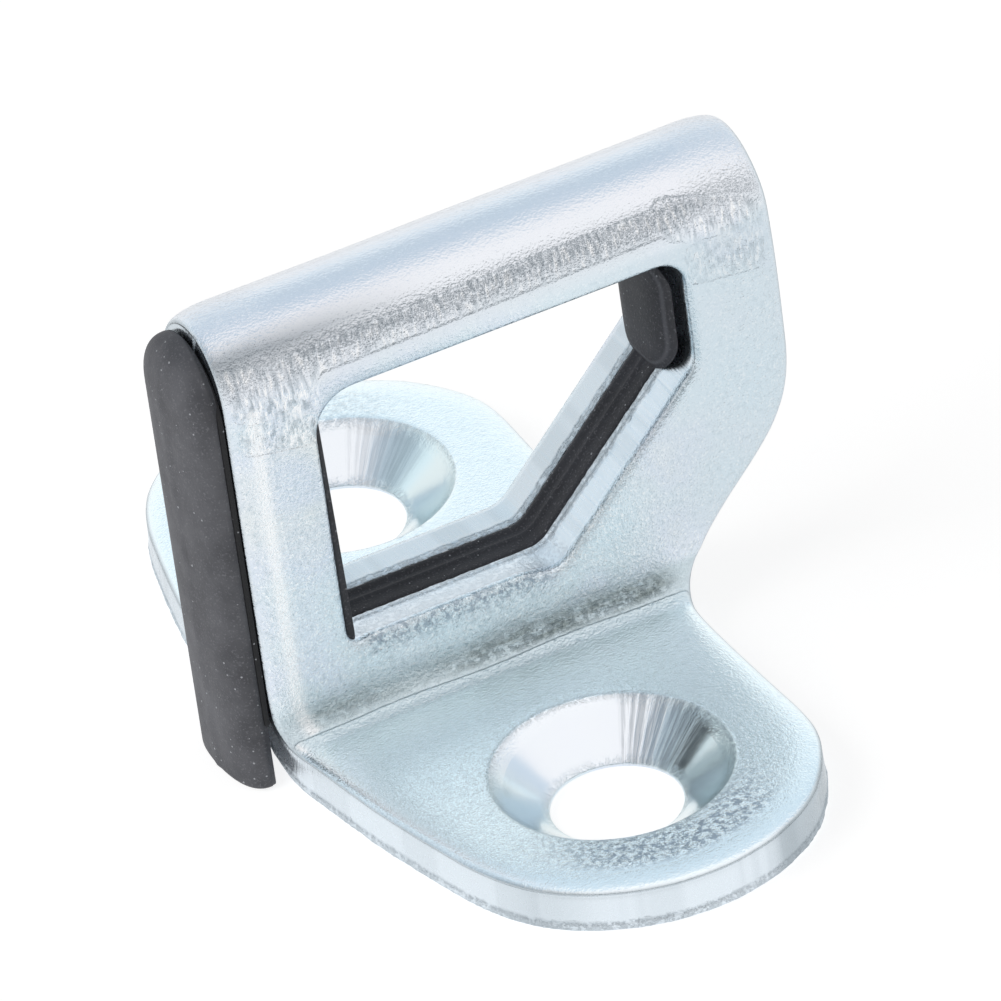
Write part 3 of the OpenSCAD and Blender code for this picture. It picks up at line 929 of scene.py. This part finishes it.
def zinc_steel(settings):
    """Blanked and folded mild steel, electroplated with zinc and blue passivated: pale, cool and
    satin, with a fine grain, brighter sheared walls, a rough torn band and greyer worn places;
    shade is painted on walls facing right, in the rear window, on the fold's left end, on the
    leaf's right end, in the bend and its crease, and the foot is painted lighter."""
    material, tree, shader = new_material("zinc_plated_blue_passivated_steel")
    pattern, mask = zinc_patterns(tree)
    inputs = {0: pattern["coarse"], 1: 0.1, 2: settings.roughness - 0.05}
    rough = node(tree, "Math", inputs, operation="MULTIPLY_ADD").outputs[0]
    for name, more in ZINC_ROUGHNESS:
        inputs = {0: mask[name], 1: more, 2: rough}
        rough = node(tree, "Math", inputs, operation="MULTIPLY_ADD").outputs[0]
    inputs = {"Height": zinc_height(tree, pattern, mask), "Distance": 0.001, "Strength": 1.0}
    bump = node(tree, "Bump", inputs)
    tree.links.new(zinc_colour(tree, pattern, mask), shader.inputs["Base Color"])
    tree.links.new(rough, shader.inputs["Roughness"])
    tree.links.new(bump.outputs[0], shader.inputs["Normal"])
    shader.inputs["Metallic"].default_value = 1.0
    return material


# Patterns of the rubber: name, size in mm, detail, roughness
RUBBER_PATTERNS = (
    ("bloom", 3.5, 3.0, 0.6),
    ("tooth", 0.17, 2.0, 0.6),
    ("ripple", 1.2, 3.0, 0.5),
    ("dust", 2.3, 2.0, 0.5),
)


def moulded_rubber(settings):
    """Compression moulded black rubber (EPDM): dull charcoal with a dusty bloom, fine tooth and
    a few pale specks and scuffs; a painted highlight runs round the pad's face and the flange
    is painted near black as shade."""
    material, tree, shader = new_material("moulded_black_rubber")
    place = node(tree, "TexCoord").outputs["Object"]
    mm = node(tree, "VectorMath", {0: place, "Scale": 1000.0}, operation="SCALE").outputs[0]
    pattern = {}
    for name, size, detail, rough in RUBBER_PATTERNS:
        inputs = {"Vector": mm, "Scale": 1 / size, "Detail": detail, "Roughness": rough}
        pattern[name] = node(tree, "TexNoise", inputs).outputs[0]
    shell = node(tree, "Attribute", attribute_name="shell").outputs["Fac"]
    inner = node(tree, "Math", {0: shell, 1: 0.5}, operation="GREATER_THAN").outputs[0]
    ramp = [(0.35, grey(0)), (0.7, grey(1))]
    bloom = node(tree, "ValToRGB", {0: pattern["bloom"]}, ramp).outputs[0]
    # the strip is dustier than the shells behind it
    tones = []
    for dark, pale in (("#434449", "#5A5B60"), ("#303136", "#3B3C42")):
        inputs = {0: bloom, 6: linear(dark), 7: linear(pale)}
        tones.append(node(tree, "Mix", inputs, data_type="RGBA").outputs[2])
    inputs = {0: inner, 6: tones[0], 7: tones[1]}
    colour = node(tree, "Mix", inputs, data_type="RGBA").outputs[2]
    ramp = [(0.56, grey(0)), (0.7, grey(0.35))]
    dusted = node(tree, "ValToRGB", {0: pattern["tooth"]}, ramp).outputs[0]
    # a painted highlight round the pad's face
    line = node(tree, "Attribute", attribute_name="line").outputs["Fac"]
    line = node(tree, "Math", {0: line, 1: 0.35}, operation="MULTIPLY").outputs[0]
    # the flange in the groove between strip and plate is painted near black: painted shade
    painted_groove_shade = node(tree, "Math", {0: shell, 1: 1.0, 2: 0.4}, operation="COMPARE").outputs[0]
    inputs = {"Vector": mm, "Scale": 1.4, "Randomness": 1.0}
    away = node(tree, "TexVoronoi", inputs, feature="F1").outputs["Distance"]
    reach = node(tree, "Math", {0: pattern["dust"], 1: 0.17}, operation="MULTIPLY").outputs[0]
    speck = node(tree, "Math", {0: away, 1: reach}, operation="LESS_THAN").outputs[0]
    speck = node(tree, "Math", {0: speck, 1: 0.7}, operation="MULTIPLY").outputs[0]
    layers = ((dusted, "#8A8B91"), (line, "#75777E"), (painted_groove_shade, "#141518"), (speck, "#B9BCC2"))
    for amount, code in layers:
        inputs = {0: amount, 6: colour, 7: linear(code)}
        colour = node(tree, "Mix", inputs, data_type="RGBA").outputs[2]
    inputs = {0: pattern["tooth"], 1: 0.2, 2: settings.roughness - 0.1}
    rough = node(tree, "Math", inputs, operation="MULTIPLY_ADD").outputs[0]
    height = node(tree, "Math", {0: pattern["tooth"], 1: 0.035}, operation="MULTIPLY").outputs[0]
    inputs = {0: pattern["ripple"], 1: 0.03, 2: height}
    height = node(tree, "Math", inputs, operation="MULTIPLY_ADD").outputs[0]
    bump = node(tree, "Bump", {"Height": height, "Distance": 0.001, "Strength": 1.0})
    tree.links.new(colour, shader.inputs["Base Color"])
    tree.links.new(rough, shader.inputs["Roughness"])
    tree.links.new(bump.outputs[0], shader.inputs["Normal"])
    shader.inputs["IOR"].default_value = 1.5
    shader.inputs["Specular IOR Level"].default_value = 0.4
    return material


# Stage

# The photograph's view: camera angles in radians, the shift of the frame's origin in the image, and
# the distance in millimetres, with a focal length of 12000 pixels on a picture 1001 pixels wide
VIEW_TURN = -0.398982
VIEW_RISE = 0.591560
VIEW_ROLL = -0.140586
VIEW_SHIFT = (-16.7795, 17.0419, 808.8246)
FOCAL_PX = 12000.0
PICTURE_PX = 1001.0


def view_axes():
    """Right, down and forward axes of the camera: forward from the two angles, then rolled."""
    a, e, c, s = VIEW_TURN, VIEW_RISE, math.cos(VIEW_ROLL), math.sin(VIEW_ROLL)
    forward = np.array([-math.sin(a) * math.cos(e), math.cos(a) * math.cos(e), -math.sin(e)])
    right = np.array([math.cos(a), math.sin(a), 0.0])
    down = np.cross(forward, right)
    return c * right - s * down, s * right + c * down, forward


def put_camera():
    """Camera at the photograph's angle, distance and framing."""
    right, down, forward = view_axes()
    t = np.array(VIEW_SHIFT)
    place = -(right * t[0] + down * t[1] + forward * t[2]) - [HOLE_X, 0, 0]
    data = bpy.data.cameras.new("camera")
    data.sensor_width = 36.0
    data.lens = FOCAL_PX / PICTURE_PX * 36.0
    data.clip_start, data.clip_end = 0.01, 50.0
    camera = put_object("camera", data)
    m = np.eye(4)
    m[:3, 0], m[:3, 1], m[:3, 2], m[:3, 3] = right, -down, -forward, place / 1000
    camera.matrix_world = Matrix(m.tolist())
    bpy.context.scene.camera = camera


def put_floor(size=8.0, z=-0.0002):
    """Pale square sheet just under the part: most of its white glows, so that the shadow on it
    stays light."""
    material, tree = empty_material("pale_floor")
    diffuse = node(tree, "BsdfDiffuse", {"Color": grey(0.42)})
    light = node(tree, "Emission", {"Color": grey(1.0), "Strength": 0.8})
    both = node(tree, "AddShader", {0: diffuse.outputs[0], 1: light.outputs[0]})
    node(tree, "OutputMaterial", {"Surface": both.outputs[0]})
    h = size / 2
    mesh = bpy.data.meshes.new("floor")
    mesh.from_pydata([(-h, -h, z), (h, -h, z), (h, h, z), (-h, h, z)], [], [(0, 1, 2, 3)])
    mesh.materials.append(material)
    obj = put_object("floor", mesh)


def put_world(strength):
    """White to the camera, to reflections and through glass; a plain soft level for the rest."""
    world = bpy.data.worlds.new("soft_room")
    bpy.context.scene.world = world
    world.use_nodes = True
    tree = world.node_tree
    tree.nodes.clear()
    path = node(tree, "LightPath").outputs
    inputs = {0: path["Is Camera Ray"], 1: path["Is Glossy Ray"]}
    seen = node(tree, "Math", inputs, operation="MAXIMUM").outputs[0]
    inputs = {0: seen, 1: path["Is Transmission Ray"]}
    seen = node(tree, "Math", inputs, operation="MAXIMUM").outputs[0]
    inputs = {0: seen, 1: 1.0 - strength, 2: strength}
    level = node(tree, "Math", inputs, operation="MULTIPLY_ADD").outputs[0]
    sky = node(tree, "Background", {"Color": grey(1.0), "Strength": level})
    node(tree, "OutputWorld", {"Surface": sky.outputs[0]})


def soft_lamp(name, place, aim, width, height, power):
    """A rectangular soft lamp that faces a point."""
    data = bpy.data.lights.new(name, "AREA")
    data.shape = "RECTANGLE"
    data.size, data.size_y, data.energy = width, height, power
    lamp = put_object(name, data)
    lamp.location = place
    lamp.rotation_mode = "QUATERNION"
    lamp.rotation_quaternion = (Vector(aim) - Vector(place)).to_track_quat("-Z", "Y")
    return lamp


def toward(azimuth, elevation, distance):
    """A point at a distance in a direction: azimuth 0 is in front (-Y) and 90 to the right (+X)."""
    a, e = math.radians(azimuth), math.radians(elevation)
    return (
        distance * math.sin(a) * math.cos(e),
        -distance * math.cos(a) * math.cos(e),
        distance * math.sin(e),
    )


# What the tent's inside shows, from behind the part over the top to the front: angle from
# straight up in degrees (front positive) and the linear colour there
TENT_BANDS = [
    (-88, (1.05, 1.05, 1.05)),
    (-68, (1.08, 1.08, 1.08)),
    (-58, (1.0, 1.09, 1.15)),
    (-49, (0.93, 1.05, 1.11)),
    (-47, (0.64, 0.71, 0.78)),
    (-45, (0.64, 0.71, 0.78)),
    (-42, (0.68, 0.77, 0.86)),
    (-36, (0.69, 0.79, 0.88)),
    (-9, (0.73, 0.83, 0.93)),
    (0, (0.92, 0.95, 1.0)),
    (5, (1.17, 1.13, 1.12)),
    (55, (1.17, 1.15, 1.14)),
    (58, (0.8, 0.82, 0.83)),
    (61, (0.3, 0.32, 0.335)),
    (76, (0.3, 0.32, 0.335)),
    (82, (0.6, 0.62, 0.63)),
    (87, (0.95, 0.95, 0.95)),
]
TENT_RADIUS = 2.4
TENT_HALF_WIDTH = 5.0
TENT_LEFT_END = 0.72


def put_tent():
    """Light tent round the part, a half cylinder about X: a point is (x, -R sin a, R cos a). Its
    panels are mirrored by the metal only; the camera, shadows and matt surfaces pass it by. Its
    left end is dimmer, but not low down behind the part."""
    a = np.radians(np.linspace(TENT_BANDS[0][0], TENT_BANDS[-1][0], 175))
    x = np.linspace(-TENT_HALF_WIDTH, TENT_HALF_WIDTH, 41)
    aa, xx = np.meshgrid(a, x, indexing="ij")
    pts = np.stack([xx, -TENT_RADIUS * np.sin(aa), TENT_RADIUS * np.cos(aa)], -1).reshape(-1, 3)
    i, j = np.meshgrid(np.arange(len(a) - 1) * len(x), np.arange(len(x) - 1), indexing="ij")
    k = (i + j).ravel()
    mesh = bpy.data.meshes.new("light_tent")
    mesh.from_pydata(pts.tolist(), [], np.stack([k, k + 1, k + 1 + len(x), k + len(x)], 1).tolist())
    bands = np.array([[at, *colour] for at, colour in TENT_BANDS])
    at = np.degrees(aa.ravel())
    shown = np.stack([np.interp(at, bands[:, 0], bands[:, k]) for k in (1, 2, 3)], 1)
    dim = smooth_step(-xx.ravel(), 1.2, 1.8) * smooth_step(at, -45, -30)
    shown = shown * (1 - (1 - TENT_LEFT_END) * dim)[:, None]
    layer = mesh.attributes.new("glow", "FLOAT_VECTOR", "POINT")
    layer.data.foreach_set("vector", shown.astype(np.float32).ravel())
    material, tree = empty_material("tent_panels")
    shade = node(tree, "Attribute", attribute_name="glow").outputs["Vector"]
    light = node(tree, "Emission", {"Color": shade, "Strength": 1.0})
    node(tree, "OutputMaterial", {"Surface": light.outputs[0]})
    mesh.materials.append(material)
    tent = put_object("light_tent", mesh)
    tent.visible_camera = tent.visible_shadow = tent.visible_diffuse = False
    tent.visible_transmission = False


# Name, azimuth, elevation and share of the lamp power
LAMPS = (("left_lamp", -90, 36, 1.0), ("front_lamp", 25, 58, 0.05))


def put_stage(settings):
    """Floor, soft room, the light tent and two large soft lamps that only shade matt surfaces."""
    put_floor()
    put_world(settings.room_level)
    put_tent()
    for name, azimuth, elevation, share in LAMPS:
        place, power = toward(azimuth, elevation, 1.8), settings.lamp_power * share
        lamp = soft_lamp(name, place, (0.0, 0.0, 0.015), 1.5, 1.2, power)
        lamp.visible_glossy = False


# Add-on


class StrikerPlateSettings(bpy.types.PropertyGroup):
    """Sizes and finish of the steel plate"""

    edge_step: bpy.props.FloatProperty(
        name="Edge step",
        description="Distance between points along the cut edges, in mm",
        default=0.34,
        min=0.2,
        max=1.0,
    )
    face_step: bpy.props.FloatProperty(
        name="Face step",
        description="Distance between points on the faces, in mm",
        default=0.55,
        min=0.3,
        max=2.0,
    )
    roughness: bpy.props.FloatProperty(
        name="Roughness",
        description="Mean roughness of the zinc",
        default=0.16,
        min=0.0,
        max=1.0,
        subtype="FACTOR",
    )


class RubberInsertSettings(bpy.types.PropertyGroup):
    """Sizes and finish of the rubber insert"""

    crown: bpy.props.FloatProperty(
        name="Crown",
        description="Rise of the side strip's crown, in mm",
        default=2.0,
        min=0.5,
        max=3.0,
    )
    rail: bpy.props.FloatProperty(
        name="Rail",
        description="Scale of the rail's relief in the window",
        default=1.0,
        min=0.2,
        max=2.0,
    )
    roughness: bpy.props.FloatProperty(
        name="Roughness",
        description="Mean roughness of the rubber",
        default=0.62,
        min=0.0,
        max=1.0,
        subtype="FACTOR",
    )


class StudioSettings(bpy.types.PropertyGroup):
    """Light around the striker"""

    room_level: bpy.props.FloatProperty(
        name="Room level",
        description="Strength of the soft room light",
        default=0.32,
        min=0.0,
        max=2.0,
    )
    lamp_power: bpy.props.FloatProperty(
        name="Lamp power",
        description="Power of the left lamp",
        default=14.0,
        min=0.0,
        max=100.0,
        subtype="POWER",
        unit="POWER",
    )


class STRIKER_OT_plate(bpy.types.Operator):
    """Builds the folded steel plate with its cut edges and screw holes"""

    bl_idname = "striker.plate"
    bl_label = "Steel plate"

    def execute(self, context):
        settings = context.scene.striker_plate_settings
        build_plate(settings, zinc_steel(settings))
        return {"FINISHED"}


class STRIKER_OT_insert(bpy.types.Operator):
    """Builds the black rubber insert"""

    bl_idname = "striker.insert"
    bl_label = "Rubber insert"

    def execute(self, context):
        settings = context.scene.rubber_insert_settings
        build_insert(settings, moulded_rubber(settings))
        return {"FINISHED"}


class STRIKER_OT_stage(bpy.types.Operator):
    """Puts up the floor, the light and the camera"""

    bl_idname = "striker.stage"
    bl_label = "Stage"

    def execute(self, context):
        put_stage(context.scene.studio_settings)
        put_camera()
        context.scene.view_settings.view_transform = "Standard"
        return {"FINISHED"}


class STRIKER_PT_panel(bpy.types.Panel):
    """Lists the striker's pieces in the sidebar"""

    bl_label = "Door latch striker"
    bl_space_type = "VIEW_3D"
    bl_region_type = "UI"
    bl_category = "Striker"

    def draw(self, context):
        scene = context.scene
        plate, insert = scene.striker_plate_settings, scene.rubber_insert_settings
        for group, names, operator in (
            (plate, ("edge_step", "face_step", "roughness"), "striker.plate"),
            (insert, ("crown", "rail", "roughness"), "striker.insert"),
            (scene.studio_settings, ("room_level", "lamp_power"), "striker.stage"),
        ):
            for name in names:
                self.layout.prop(group, name)
            self.layout.operator(operator)


CLASSES = (
    StrikerPlateSettings,
    RubberInsertSettings,
    StudioSettings,
    STRIKER_OT_plate,
    STRIKER_OT_insert,
    STRIKER_OT_stage,
    STRIKER_PT_panel,
)


def register():
    """Registers the classes and hangs their settings on the scene."""
    for cls in CLASSES:
        bpy.utils.register_class(cls)
    bpy.types.Scene.striker_plate_settings = bpy.props.PointerProperty(type=StrikerPlateSettings)
    bpy.types.Scene.rubber_insert_settings = bpy.props.PointerProperty(type=RubberInsertSettings)
    bpy.types.Scene.studio_settings = bpy.props.PointerProperty(type=StudioSettings)


def unregister():
    """Takes the settings and the classes away again."""
    del bpy.types.Scene.striker_plate_settings
    del bpy.types.Scene.rubber_insert_settings
    del bpy.types.Scene.studio_settings
    for cls in reversed(CLASSES):
        bpy.utils.unregister_class(cls)


def corners(box):
    """A box's two corners as plain lists."""
    return [list(c) for c in box]


def main():
    register()
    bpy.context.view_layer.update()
    bpy.ops.striker.plate()
    bpy.ops.striker.insert()
    bpy.ops.striker.stage()
    bpy.context.view_layer.update()


if __name__ == "__main__":
    main()
